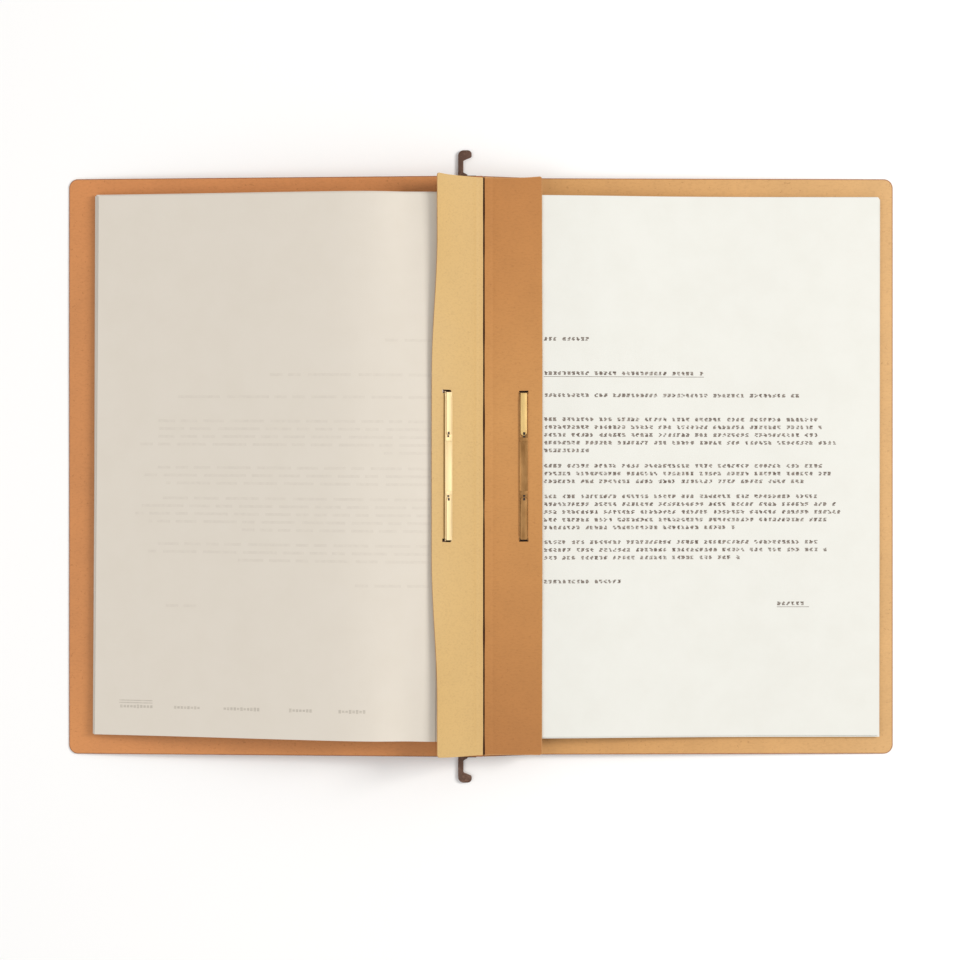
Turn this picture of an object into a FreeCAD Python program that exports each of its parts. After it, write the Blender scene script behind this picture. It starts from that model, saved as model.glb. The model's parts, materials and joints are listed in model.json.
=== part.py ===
"""Suspension file, lying open: a folded card cover on a steel hanger rail, with a filing
wing, a two-prong fastener and a bundle of A4 sheets on each side of the fold.

Frame: X across the open file, Y along the spine, Z up, millimetres. The origin is at the
bottom centre, so the file lies on Z = 0. The back half is on the +X side.
"""
import FreeCAD, Part

import math
import os

# ---- card covers
CARD = 0.5                # thickness of the cover card
COVER_HEIGHT = 318.0      # along the spine
HALF_WIDTH = 228.0        # from the middle of the open file to a cover's outer edge
CORNER_RADIUS = 5.0       # rounded outer corners

# ---- the fold between the two halves
FOLD_X = 1.5
FOLD_Z = 16.0
RIDGE_DROP = 1.0          # the back cover's crest lies this far under the fold
CREASE_GAP = 0.7          # bare crease between two panels that turn on each other

# ---- front half
SPINE_WIDTH = 25.5        # from the fold to the front cover's score

# ---- back half
FOOT_X = -1.5             # where the crest's steep side meets the fin
SHOULDER_X = 33.0         # where the crest's gentle side meets the flat cover
SHOULDER_Z = 5.0
FIN_END_X = -19.5         # free edge of the fin that carries the rail

# ---- hanger rail
RAIL_THICKNESS = 1.0
RAIL_LEFT_X = -12.6
RAIL_RIGHT_X = -2.6
RAIL_LENGTH = 322.0
HOOK_TO_HOOK = 350.0
HOOK_STEM = 2.9
HOOK_NOSE = 4.6           # how far the nose reaches past the stem
HOOK_NOSE_DEPTH = 3.8     # the rounded nose, along the spine
HOOK_NECK = 5.7           # from the tip down to where the nose's slope meets the stem
HOOK_CROWN_RADIUS = 3.1
HOOK_NOSE_RADIUS = 2.3
HOOK_UNDER_RADIUS = 1.2
HOOK_FOOT = 2.3           # width of the small foot below the notch
HOOK_FOOT_Y = 161.5
HOOK_FOOT_TOP_Y = 162.7

# ---- filing wings
WING_EDGE = 32.0          # from the fold to a wing's free edge
WING_HEIGHT = 316.0
WING_CORNER = 2.5
RIGHT_WING_START = 2.5    # from the fold
LEFT_WING_START = 4.6
LEFT_WING_TILT = 36.0     # degrees above the front half

# ---- two-prong fasteners, in the wing's own frame: U from the fold, N above the wing
RIGHT_FASTENER_U = 21.9   # from the fold to the prongs
LEFT_FASTENER_U = 23.9
PRONG_Y = 40.0
METAL = 0.4
BASE_WIDTH = 5.0
BASE_HALF_LENGTH = 44.0
PRONG_WIDTH = 3.4
BAR_WIDTH = 4.7
BAR_HALF_LENGTH = 40.6
BAR_RAIL = 0.35           # width of the bar's raised side rails
BAR_RAIL_HEIGHT = 0.2
KEEPER_Y = 13.5           # keepers that cover the tongues' tips
KEEPER_LENGTH = 2.2
TONGUE_THICKNESS = 0.35
TONGUE_GAP = 0.1          # air between the bar and a closed tongue
TONGUE_TIP_Y = 16.8
SLOT_LENGTH = 5.0          # the wing's prong slots, across the wing
SLOT_IN = 0.55             # from the prong to a slot's inner side
SLOT_OUT = 1.3             # and to its outer side
NOTCH_WIDTH = 4.0          # the open notch at each end of the bar

# ---- paper
SHEET_WIDTH = 210.0
SHEET_HEIGHT = 297.0
HOLE_DIAMETER = 6.0
HOLE_SPACING = 80.0
HOLE_TO_EDGE = 12.0
STACK = 2.4               # clamped thickness of one side's sheets
BUNDLE = 1.8              # the sheets under the top one
TOP_SHEET = 0.25
TOP_SHEET_GAP = 0.35
PAPER_TOP_N = -0.5        # top of the clamped sheets, below the wing's middle
MARGIN_END = 29.8         # where the clamped part ends, from the fold

WING_TOP_N = CARD / 2
TONGUE_N = WING_TOP_N + METAL + TONGUE_GAP + TONGUE_THICKNESS / 2


def place(x, y, z):
    """A point or vector."""
    return FreeCAD.Vector(x, y, z)


def slab(x0, x1, y0, y1, z0, z1):
    """A box between two corners."""
    return Part.makeBox(x1 - x0, y1 - y0, z1 - z0, place(x0, y0, z0))


def unit(dx, dz):
    """A direction of length one in the X-Z plane."""
    length = math.hypot(dx, dz)
    return dx / length, dz / length


def bent_card(points, height, thickness=CARD):
    """Flat panels joined by sharp creases, along a path in the X-Z plane."""
    upper, lower = [], []
    for index, (x, z) in enumerate(points):
        before = points[max(index - 1, 0)]
        after = points[min(index + 1, len(points) - 1)]
        into = unit(x - before[0], z - before[1]) if index > 0 else None
        out = unit(after[0] - x, after[1] - z) if index < len(points) - 1 else None
        into = into or out
        out = out or into
        mx, mz = unit(-into[1] - out[1], into[0] + out[0])
        reach = thickness / 2 / (mx * -into[1] + mz * into[0])
        upper.append(place(x + mx * reach, -height / 2, z + mz * reach))
        lower.append(place(x - mx * reach, -height / 2, z - mz * reach))
    outline = upper + lower[::-1]
    face = Part.Face(Part.makePolygon(outline + outline[:1]))
    return face.extrude(place(0, height, 0))


def curled_sheet(points, height, thickness, lift=0.0):
    """A smooth sheet along a path in the X-Z plane, raised by lift across the path."""
    middle = Part.BSplineCurve()
    middle.interpolate([place(x, 0, z) for x, z in points])
    spans = 16
    sides = []
    for offset in (lift + thickness / 2, lift - thickness / 2):
        side = []
        for step in range(spans + 1):
            span = middle.LastParameter - middle.FirstParameter
            t = middle.FirstParameter + span * step / spans
            along = middle.tangent(t)[0]
            sign = 1.0 if along.x > 0 else -1.0
            across = place(-along.z * sign, 0, along.x * sign)
            side.append(middle.value(t) + across * offset - place(0, height / 2, 0))
        sides.append(side)
    edges = []
    for side in sides:
        curve = Part.BSplineCurve()
        curve.interpolate(side)
        edges.append(curve.toShape())
    edges.append(Part.makeLine(sides[0][0], sides[1][0]))
    edges.append(Part.makeLine(sides[0][-1], sides[1][-1]))
    face = Part.Face(Part.Wire(Part.__sortEdges__(edges)))
    return face.extrude(place(0, height, 0))


def rounded_plate(x0, x1, half_height, radius, thickness, z0):
    """A plate whose two corners at x1 are rounded."""
    plate = slab(min(x0, x1), max(x0, x1), -half_height, half_height, z0, z0 + thickness)
    corners = [edge for edge in plate.Edges
               if abs(edge.Vertexes[0].X - x1) < 1e-6 and abs(edge.Vertexes[-1].X - x1) < 1e-6
               and abs(edge.Vertexes[0].Y - edge.Vertexes[-1].Y) < 1e-6]
    return plate.makeFillet(radius, corners)


def trim_corners(card, side):
    """Rounds a cover's two outer corners; side is +1 or -1."""
    cutter = rounded_plate(side * -60.0, side * HALF_WIDTH, COVER_HEIGHT / 2,
                           CORNER_RADIUS, 80.0, -20.0)
    return card.common(cutter)


def rounded_outline(corners, z):
    """A closed flat outline; each corner is (x, y, radius), and a radius of 0 stays sharp."""
    turns = []
    for index, (x, y, radius) in enumerate(corners):
        here = place(x, y, z)
        after = corners[(index + 1) % len(corners)]
        if radius == 0:
            turns.append((here, None, here))
            continue
        back = (place(corners[index - 1][0], corners[index - 1][1], z) - here).normalize()
        ahead = (place(after[0], after[1], z) - here).normalize()
        half = back.getAngle(ahead) / 2
        middle = (back + ahead).normalize() * (radius / math.sin(half) - radius)
        reach = radius / math.tan(half)
        turns.append((here + back * reach, here + middle, here + ahead * reach))
    edges = []
    for index, (start, middle, end) in enumerate(turns):
        following = turns[(index + 1) % len(turns)][0]
        if middle is not None:
            edges.append(Part.Arc(start, middle, end).toShape())
        if end.distanceToPoint(following) > 1e-6:
            edges.append(Part.makeLine(end, following))
    return Part.Face(Part.Wire(Part.__sortEdges__(edges)))


# ---------------------------------------------------------------- covers and rail

def back_cover():
    """One card: fin, crest under the fold, and the cover behind the right-hand sheets."""
    middle = CARD / 2
    path = [(FIN_END_X, middle), (FOOT_X, middle), (FOLD_X, FOLD_Z - RIDGE_DROP),
            (SHOULDER_X, SHOULDER_Z), (HALF_WIDTH, middle)]
    return trim_corners(bent_card(path, COVER_HEIGHT), 1)


def hanger_sleeve():
    """The card strip glued over the rail, down onto the fin beside it."""
    over = CARD * 1.5 + RAIL_THICKNESS
    path = [(FIN_END_X, CARD * 1.5), (RAIL_LEFT_X - 1.8, CARD * 1.5),
            (RAIL_LEFT_X - 0.8, over), (RAIL_RIGHT_X, over)]
    return bent_card(path, COVER_HEIGHT - 2.0)


def hanger_rail():
    """The flat steel strip in the sleeve."""
    half = RAIL_LENGTH / 2
    return slab(RAIL_LEFT_X, RAIL_RIGHT_X, -half, half, CARD, CARD + RAIL_THICKNESS)


def hook(end):
    """One stamped hook, opening towards +X; end is +1 or -1 along the spine."""
    root = RAIL_LENGTH / 2
    tip = HOOK_TO_HOOK / 2
    stem_x = RAIL_LEFT_X + HOOK_STEM
    nose_x = stem_x + HOOK_NOSE
    foot_x = stem_x + HOOK_FOOT
    corners = [(RAIL_LEFT_X, root, 0), (RAIL_LEFT_X, tip, HOOK_CROWN_RADIUS),
               (nose_x, tip, HOOK_NOSE_RADIUS),
               (nose_x, tip - HOOK_NOSE_DEPTH, HOOK_UNDER_RADIUS),
               (stem_x, tip - HOOK_NECK, 0.9), (stem_x, HOOK_FOOT_TOP_Y, 0.7),
               (foot_x, HOOK_FOOT_Y, 0.3), (foot_x, root, 0)]
    face = rounded_outline([(x, end * y, radius) for x, y, radius in corners], CARD)
    return face.extrude(place(0, 0, RAIL_THICKNESS))


def front_spine():
    """The narrow front panel between the fold and the score."""
    path = [(FOLD_X - SPINE_WIDTH + CREASE_GAP, FOLD_Z), (FOLD_X - RIDGE_DROP, FOLD_Z)]
    return bent_card(path, COVER_HEIGHT)


def front_cover():
    """The front cover, from the score down to its outer edge on the table."""
    score_x = FOLD_X - SPINE_WIDTH
    outer_z = CARD / 2
    ux, uz = unit(-HALF_WIDTH - score_x, outer_z - FOLD_Z)
    path = [(-HALF_WIDTH, outer_z),
            (score_x + ux * CREASE_GAP, FOLD_Z + uz * CREASE_GAP)]
    card = trim_corners(bent_card(path, COVER_HEIGHT), -1)
    lowest = card.BoundBox.ZMin
    card.translate(place(0, 0, max(0.0, -lowest)))
    return card


# ---------------------------------------------------------------- leaves, in the wing's frame

def prong_cuts(u, width, outward):
    """Two cuts round the prongs; outward is how far they reach past them."""
    cuts = []
    for end in (1, -1):
        near, far = end * (PRONG_Y - SLOT_IN), end * (PRONG_Y + outward)
        cuts.append(slab(u - width / 2, u + width / 2, min(near, far), max(near, far), -2, 2))
    return cuts


def wing(start, u):
    """The flat filing wing with its prong slots; u is the prongs' place across it."""
    plate = rounded_plate(start, WING_EDGE, WING_HEIGHT / 2, WING_CORNER, CARD, -CARD / 2)
    return plate.cut(prong_cuts(u, SLOT_LENGTH, SLOT_OUT))


def sheet_margin(u):
    """The punched edge of the sheets, clamped under the wing."""
    block = slab(u - HOLE_TO_EDGE, MARGIN_END, -SHEET_HEIGHT / 2, SHEET_HEIGHT / 2,
                 PAPER_TOP_N - STACK, PAPER_TOP_N)
    holes = [Part.makeCylinder(HOLE_DIAMETER / 2, 20.0,
                               place(u, end * HOLE_SPACING / 2, -10.0))
             for end in (1, -1)]
    return block.cut(holes)


def fastener_base(u):
    """The strip under the sheets, with the roots of its two prongs."""
    floor = PAPER_TOP_N - STACK
    base = slab(u - BASE_WIDTH / 2, u + BASE_WIDTH / 2,
                -BASE_HALF_LENGTH, BASE_HALF_LENGTH, floor - METAL, floor)
    prong_top = TONGUE_N - TONGUE_THICKNESS / 2 - TONGUE_GAP / 2
    prongs = [slab(u - PRONG_WIDTH / 2, u + PRONG_WIDTH / 2,
                   end * PRONG_Y - METAL / 2, end * PRONG_Y + METAL / 2, floor, prong_top)
              for end in (1, -1)]
    return base.fuse(prongs).removeSplitter()


def fastener_bar(u):
    """The cover bar on the wing, notched at both ends, with side rails and tip keepers."""
    half = BAR_WIDTH / 2
    bottom = WING_TOP_N
    top = bottom + METAL
    bar = slab(u - half, u + half, -BAR_HALF_LENGTH, BAR_HALF_LENGTH, bottom, top)
    bar = bar.cut(prong_cuts(u, NOTCH_WIDTH, 5.0))
    rail_end = PRONG_Y - 2.0
    raised = []
    for side in (1, -1):
        outer = u + side * half
        inner = outer - side * BAR_RAIL
        raised.append(slab(min(outer, inner), max(outer, inner), -rail_end, rail_end,
                           top, top + BAR_RAIL_HEIGHT))
    for end in (1, -1):
        near, far = end * KEEPER_Y, end * (KEEPER_Y + KEEPER_LENGTH)
        raised.append(slab(u - half + BAR_RAIL, u + half - BAR_RAIL,
                           min(near, far), max(near, far), top, top + METAL))
    return bar.fuse(raised).removeSplitter()


def tongue(end, u):
    """One brass tongue, folded inwards over the bar; it hinges where its prong comes up."""
    half = PRONG_WIDTH / 2
    bottom = TONGUE_N - TONGUE_THICKNESS / 2
    tip = end * TONGUE_TIP_Y
    round_y = tip + end * half
    root = end * PRONG_Y
    blade = slab(u - half, u + half, min(round_y, root), max(round_y, root),
                 bottom, bottom + TONGUE_THICKNESS)
    nose = Part.makeCylinder(half, TONGUE_THICKNESS, place(u, round_y, bottom))
    knuckle = Part.makeCylinder(TONGUE_THICKNESS / 2, PRONG_WIDTH,
                                place(u - half, root, TONGUE_N), place(1, 0, 0))
    return blade.fuse([nose, knuckle]).removeSplitter()


def on_right(shape):
    """Puts a leaf piece flat on the right of the fold."""
    moved = shape.copy()
    moved.translate(place(FOLD_X, 0, FOLD_Z))
    return moved


def on_left(shape):
    """Mirrors a leaf piece to the left of the fold and tilts it up."""
    moved = shape.mirror(place(0, 0, 0), place(1, 0, 0))
    moved.rotate(place(0, 0, 0), place(0, 1, 0), LEFT_WING_TILT)
    moved.translate(place(FOLD_X, 0, FOLD_Z))
    return moved


# ---------------------------------------------------------------- the free sheets

LIFT_TO_TOP = BUNDLE / 2 + TOP_SHEET_GAP + TOP_SHEET / 2
BUNDLE_DROP = PAPER_TOP_N - STACK + BUNDLE / 2     # bundle's middle, below the wing's


def right_path():
    """Middle of the right bundle: off the wing in an easy curve, down onto the cover."""
    return [(FOLD_X + MARGIN_END + 0.2, FOLD_Z + BUNDLE_DROP), (60.0, 11.7), (100.0, 7.4),
            (140.0, 4.3), (180.0, 3.0), (220.4, 2.0)]


def right_top_path():
    """The right top sheet, from just outside the wing's edge."""
    return [(FOLD_X + WING_EDGE + 0.8, 13.7)] + right_path()[1:]


def left_path():
    """Middle of the left bundle: level past the wing's edge, then down to the cover."""
    return [(-25.4, 32.5), (-48.0, 32.6), (-72.0, 30.8), (-110.0, 23.8), (-150.0, 15.4),
            (-185.0, 8.6), (-213.6, 3.3)]


def left_top_path():
    """The left top sheet, from just outside the wing's edge."""
    return [(-28.4, 32.46)] + left_path()[1:]


def free_sheets(path, thickness, lift=0.0):
    """Sheets from the wing's edge to their outer edge."""
    return curled_sheet(path, SHEET_HEIGHT, thickness, lift)


def build():
    """Every piece by node name."""
    pieces = {
        "back_cover": back_cover(),
        "hanger_sleeve": hanger_sleeve(),
        "hanger_rail": hanger_rail(),
        "upper_hook": hook(1),
        "lower_hook": hook(-1),
        "front_spine": front_spine(),
        "front_cover": front_cover(),
        "right_wing": on_right(wing(RIGHT_WING_START, RIGHT_FASTENER_U)),
        "left_wing": on_left(wing(LEFT_WING_START, LEFT_FASTENER_U)),
        "right_sheets": free_sheets(right_path(), BUNDLE),
        "right_top_sheet": free_sheets(right_top_path(), TOP_SHEET, LIFT_TO_TOP),
        "left_sheets": free_sheets(left_path(), BUNDLE),
        "left_top_sheet": free_sheets(left_top_path(), TOP_SHEET, LIFT_TO_TOP),
    }
    for side, put, u in (("right", on_right, RIGHT_FASTENER_U),
                         ("left", on_left, LEFT_FASTENER_U)):
        pieces[side + "_sheet_margin"] = put(sheet_margin(u))
        pieces[side + "_fastener_base"] = put(fastener_base(u))
        pieces[side + "_fastener_bar"] = put(fastener_bar(u))
        pieces[side + "_upper_tongue"] = put(tongue(1, u))
        pieces[side + "_lower_tongue"] = put(tongue(-1, u))
    return pieces


def main():
    """Writes one STEP file per piece."""
    os.makedirs("parts", exist_ok=True)
    for name, shape in build().items():
        box = shape.BoundBox
        print(f"{name:22s} solids {len(shape.Solids)} valid {shape.isValid()} "
              f"volume {shape.Volume:10.2f}  X {box.XMin:8.2f} {box.XMax:8.2f}"
              f"  Y {box.YMin:8.2f} {box.YMax:8.2f}  Z {box.ZMin:6.2f} {box.ZMax:6.2f}")
        shape.exportStep(f"parts/{name}.step")


main()
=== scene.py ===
"""Dresses the open suspension file: kraft card, filed sheets, brass fasteners and steel rail.

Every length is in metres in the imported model's own frame: X across the open file, Y along
its spine and Z up from the surface that it lies on.
"""

import bisect
import json
import logging
import math
import random
from dataclasses import dataclass, field
from enum import Enum
from typing import Callable

import bmesh
import bpy
from mathutils import Matrix, Vector, noise

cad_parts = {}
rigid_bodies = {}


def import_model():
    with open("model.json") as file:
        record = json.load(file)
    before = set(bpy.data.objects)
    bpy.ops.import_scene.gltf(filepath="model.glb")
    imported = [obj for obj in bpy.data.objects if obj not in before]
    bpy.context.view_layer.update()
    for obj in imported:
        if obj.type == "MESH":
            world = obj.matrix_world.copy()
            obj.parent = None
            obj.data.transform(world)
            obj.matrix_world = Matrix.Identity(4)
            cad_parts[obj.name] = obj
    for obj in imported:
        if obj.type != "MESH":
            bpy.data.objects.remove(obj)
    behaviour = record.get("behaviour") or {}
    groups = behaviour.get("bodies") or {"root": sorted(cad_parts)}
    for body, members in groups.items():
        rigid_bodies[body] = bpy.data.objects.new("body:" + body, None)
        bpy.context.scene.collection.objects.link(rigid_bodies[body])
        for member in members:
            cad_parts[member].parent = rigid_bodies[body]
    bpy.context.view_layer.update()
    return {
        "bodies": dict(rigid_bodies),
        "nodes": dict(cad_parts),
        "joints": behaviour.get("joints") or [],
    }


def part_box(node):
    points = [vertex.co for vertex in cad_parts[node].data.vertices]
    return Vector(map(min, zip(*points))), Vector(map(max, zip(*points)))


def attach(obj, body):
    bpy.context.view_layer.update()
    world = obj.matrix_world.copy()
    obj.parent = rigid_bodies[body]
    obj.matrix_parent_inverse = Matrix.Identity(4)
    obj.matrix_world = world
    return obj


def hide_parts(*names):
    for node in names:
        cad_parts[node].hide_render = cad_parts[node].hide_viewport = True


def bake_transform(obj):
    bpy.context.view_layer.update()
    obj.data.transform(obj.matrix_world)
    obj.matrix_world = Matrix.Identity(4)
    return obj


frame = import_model()

LOG = logging.getLogger("suspension_file")
MM = 0.001
TINY = 1e-9
EDGE_SLOT, RIM_SLOT = 1, 2
STEEL_NODES = ("hanger_rail", "upper_hook", "lower_hook")

Point = tuple[float, float]
Colour = tuple[float, float, float]
Hole = tuple[float, float, float, float]


def joint_place(name: str) -> Vector:
    """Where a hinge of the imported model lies.

    Args:
        name: the joint's name in the record.

    Returns:
        A point on its axis.
    """
    joint = next(item for item in frame["joints"] if item["name"] == name)
    return Vector(joint["pos_m"])


# ------------------------------------------------------------------ finishes

class Axis(Enum):
    """The axis that a tone runs along."""

    X = "X"
    Y = "Y"


@dataclass(frozen=True)
class AgeTintAndPaintedLight:
    """How a finish's colour changes along one axis: places in metres with a tint at each. On the
    covers these tints are painted light and shade; on the right wing they darken it with age
    towards its ends.
    """

    axis: Axis
    tints: tuple[tuple[float, Colour], ...]


@dataclass(frozen=True)
class NodePen:
    """Adds and wires shader nodes in one material."""

    material: bpy.types.Material

    @property
    def tree(self) -> bpy.types.NodeTree:
        """The material's node tree."""
        return self.material.node_tree

    def add(self, kind: str, **settings: object) -> bpy.types.Node:
        """Adds one node.

        Args:
            kind: the node type's name.
            settings: properties set on the node itself.

        Returns:
            The new node.
        """
        node = self.tree.nodes.new(kind)
        for key, value in settings.items():
            setattr(node, key, value)
        return node

    def link(self, source: bpy.types.NodeSocket, target: bpy.types.NodeSocket) -> None:
        """Joins two sockets."""
        self.tree.links.new(source, target)

    def noise(self, scale: float, stretch: Colour = (1, 1, 1), detail: float = 4.0,
              roughness: float = 0.55) -> bpy.types.NodeSocket:
        """Noise on the piece's own coordinates.

        Args:
            scale: features per metre.
            stretch: how many times finer the pattern is along each axis.
            detail: octaves of the noise.
            roughness: how strong the fine octaves are.

        Returns:
            The noise value's socket.
        """
        place = self.add("ShaderNodeTexCoord")
        mapping = self.add("ShaderNodeMapping")
        mapping.inputs["Scale"].default_value = stretch
        texture = self.add("ShaderNodeTexNoise")
        texture.inputs["Scale"].default_value = scale
        texture.inputs["Detail"].default_value = detail
        texture.inputs["Roughness"].default_value = roughness
        self.link(place.outputs["Object"], mapping.inputs["Vector"])
        self.link(mapping.outputs["Vector"], texture.inputs["Vector"])
        return texture.outputs["Fac"]

    def ramp(self, value: bpy.types.NodeSocket,
             stops: list[tuple[float, Colour]]) -> bpy.types.NodeSocket:
        """Turns a value into colours.

        Args:
            value: the socket that drives the ramp.
            stops: places from 0 to 1 with their colours.

        Returns:
            The colour socket.
        """
        node = self.add("ShaderNodeValToRGB")
        while len(node.color_ramp.elements) < len(stops):
            node.color_ramp.elements.new(0.5)
        for element, (place, colour) in zip(node.color_ramp.elements, stops):
            element.position = place
            element.color = (*colour, 1.0)
        self.link(value, node.inputs["Fac"])
        return node.outputs["Color"]

    def mix(self, share: bpy.types.NodeSocket | float, one: bpy.types.NodeSocket,
            two: bpy.types.NodeSocket | Colour, blend: str = "MIX") -> bpy.types.NodeSocket:
        """Mixes two colours.

        Args:
            share: how much of the second colour shows, as a number or a socket.
            one: the first colour.
            two: the second colour, as a socket or a plain colour.
            blend: the name of the way that the colours blend.

        Returns:
            The mixed colour.
        """
        node = self.add("ShaderNodeMix", data_type="RGBA", blend_type=blend)
        if isinstance(share, bpy.types.NodeSocket):
            self.link(share, node.inputs["Factor"])
        else:
            node.inputs["Factor"].default_value = share
        self.link(one, node.inputs["A"])
        if isinstance(two, bpy.types.NodeSocket):
            self.link(two, node.inputs["B"])
        else:
            node.inputs["B"].default_value = (*two, 1.0)
        return node.outputs["Result"]

    def tone(self, age_tint_and_painted_light: AgeTintAndPaintedLight) -> bpy.types.NodeSocket:
        """A tint that runs along one axis of the piece.

        Args:
            age_tint_and_painted_light: the tints and their places.

        Returns:
            The tint's colour socket.
        """
        low, high = age_tint_and_painted_light.tints[0][0], age_tint_and_painted_light.tints[-1][0]
        place = self.add("ShaderNodeTexCoord")
        parts = self.add("ShaderNodeSeparateXYZ")
        self.link(place.outputs["Object"], parts.inputs["Vector"])
        span = self.add("ShaderNodeMapRange")
        span.inputs["From Min"].default_value = low
        span.inputs["From Max"].default_value = high
        self.link(parts.outputs[age_tint_and_painted_light.axis.value], span.inputs["Value"])
        stops = [((spot - low) / (high - low), tint) for spot, tint in age_tint_and_painted_light.tints]
        return self.ramp(span.outputs["Result"], stops)

    def between(self, value: bpy.types.NodeSocket, low: float,
                high: float) -> bpy.types.NodeSocket:
        """Turns a value from 0 to 1 into one between two numbers.

        Args:
            value: the socket to turn.
            low: what 0 becomes.
            high: what 1 becomes.

        Returns:
            The result's socket.
        """
        node = self.add("ShaderNodeMapRange")
        node.inputs["To Min"].default_value = low
        node.inputs["To Max"].default_value = high
        self.link(value, node.inputs["Value"])
        return node.outputs["Result"]

    def bump(self, height: bpy.types.NodeSocket, depth: float,
             strength: float = 1.0) -> bpy.types.NodeSocket:
        """A bump from a height.

        Args:
            height: the height socket, from 0 to 1.
            depth: the full height in metres.
            strength: how much of it is used.

        Returns:
            The normal socket.
        """
        node = self.add("ShaderNodeBump")
        node.inputs["Distance"].default_value = depth
        node.inputs["Strength"].default_value = strength
        self.link(height, node.inputs["Height"])
        return node.outputs["Normal"]


def new_material(name: str) -> tuple[bpy.types.Material, NodePen, bpy.types.Node]:
    """A node material with its shader.

    Args:
        name: the material's name.

    Returns:
        The material, a pen for its nodes and its main shader.
    """
    material = bpy.data.materials.new(name)
    material.use_nodes = True
    shader = material.node_tree.nodes["Principled BSDF"]
    return material, NodePen(material), shader


@dataclass(frozen=True)
class KraftCard:
    """Unbleached kraft card: mottled pulp, long fibres and specks under a soft calender sheen."""

    name: str
    colour: Colour
    age_tint_and_painted_light: AgeTintAndPaintedLight | None = None
    roughness: float = 0.52
    mottle: float = 38.0
    fibre: float = 1100.0
    contrast: float = 0.05
    flecks: float = 0.35

    def make(self) -> bpy.types.Material:
        """Builds the card's material.

        Returns:
            The material.
        """
        material, pen, shader = new_material(self.name)
        cloud = pen.noise(self.mottle, detail=6.0, roughness=0.62)
        dark = tuple(part * (1 - self.contrast * 1.2) for part in self.colour)
        light = tuple(part * (1 + self.contrast) for part in self.colour)
        body = pen.ramp(cloud, [(0.30, dark), (0.52, self.colour), (0.74, light)])
        along = pen.noise(self.fibre, (0.45, 1.0, 1.0), detail=3.0)
        fibres = pen.ramp(along, [(0.34, (0.84, 0.82, 0.80)), (0.52, (1, 1, 1))])
        body = pen.mix(0.42, body, fibres, "MULTIPLY")
        speck = pen.noise(self.fibre * 0.6, detail=1.0)
        flecks = pen.ramp(speck, [(0.26, (0.55, 0.46, 0.38)), (0.31, (1, 1, 1))])
        body = pen.mix(self.flecks, body, flecks, "MULTIPLY")
        # The axis tint multiplies in here: painted light and shade on the covers, age darkening
        # on the right wing.
        if self.age_tint_and_painted_light:
            body = pen.mix(1.0, body, pen.tone(self.age_tint_and_painted_light), "MULTIPLY")
        pen.link(body, shader.inputs["Base Color"])
        gloss = pen.between(cloud, self.roughness - 0.07, self.roughness + 0.10)
        pen.link(gloss, shader.inputs["Roughness"])
        shader.inputs["Specular IOR Level"].default_value = 0.32
        pen.link(pen.bump(along, 0.06 * MM, 0.5), shader.inputs["Normal"])
        return material


@dataclass(frozen=True)
class OfficePaper:
    """Uncoated writing paper: faint cloud of the pulp, matt, with fine tooth."""

    name: str
    colour: Colour
    shade: Colour
    roughness: float = 0.62

    def make(self) -> bpy.types.Material:
        """Builds the paper's material.

        Returns:
            The material.
        """
        material, pen, shader = new_material(self.name)
        cloud = pen.noise(60.0, detail=5.0, roughness=0.6)
        body = pen.ramp(cloud, [(0.32, self.shade), (0.62, self.colour)])
        pen.link(body, shader.inputs["Base Color"])
        shader.inputs["Roughness"].default_value = self.roughness
        shader.inputs["Specular IOR Level"].default_value = 0.25
        tooth = pen.noise(2600.0, detail=2.0)
        pen.link(pen.bump(tooth, 0.03 * MM, 0.35), shader.inputs["Normal"])
        return material


@dataclass(frozen=True)
class Ink:
    """Ribbon ink, uneven from mark to mark."""

    name: str
    colour: Colour
    pale: Colour

    def make(self) -> bpy.types.Material:
        """Builds the ink's material.

        Returns:
            The material.
        """
        material, pen, shader = new_material(self.name)
        uneven = pen.noise(420.0, detail=2.0)
        pen.link(pen.ramp(uneven, [(0.35, self.colour), (0.68, self.pale)]),
                 shader.inputs["Base Color"])
        shader.inputs["Roughness"].default_value = 0.8
        shader.inputs["Specular IOR Level"].default_value = 0.1
        return material


@dataclass(frozen=True)
class SatinBrass:
    """Rolled brass strip: fine lines along its length, cloudy tarnish and a few scuffs."""

    name: str
    colour: Colour
    tarnish: Colour
    roughness: float = 0.30

    def make(self) -> bpy.types.Material:
        """Builds the brass's material.

        Returns:
            The material.
        """
        material, pen, shader = new_material(self.name)
        cloud = pen.noise(240.0, (1.0, 0.35, 1.0), detail=5.0)
        base = pen.ramp(cloud, [(0.34, self.tarnish), (0.60, self.colour)])
        lines = pen.noise(5200.0, (1.0, 0.02, 1.0), detail=2.0)
        streaks = pen.ramp(lines, [(0.35, (0.86, 0.86, 0.86)), (0.62, (1, 1, 1))])
        pen.link(pen.mix(0.8, base, streaks, "MULTIPLY"), shader.inputs["Base Color"])
        shader.inputs["Metallic"].default_value = 0.85
        gloss = pen.between(cloud, self.roughness, self.roughness + 0.22)
        pen.link(gloss, shader.inputs["Roughness"])
        pen.link(pen.bump(lines, 0.02 * MM, 0.5), shader.inputs["Normal"])
        return material


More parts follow.
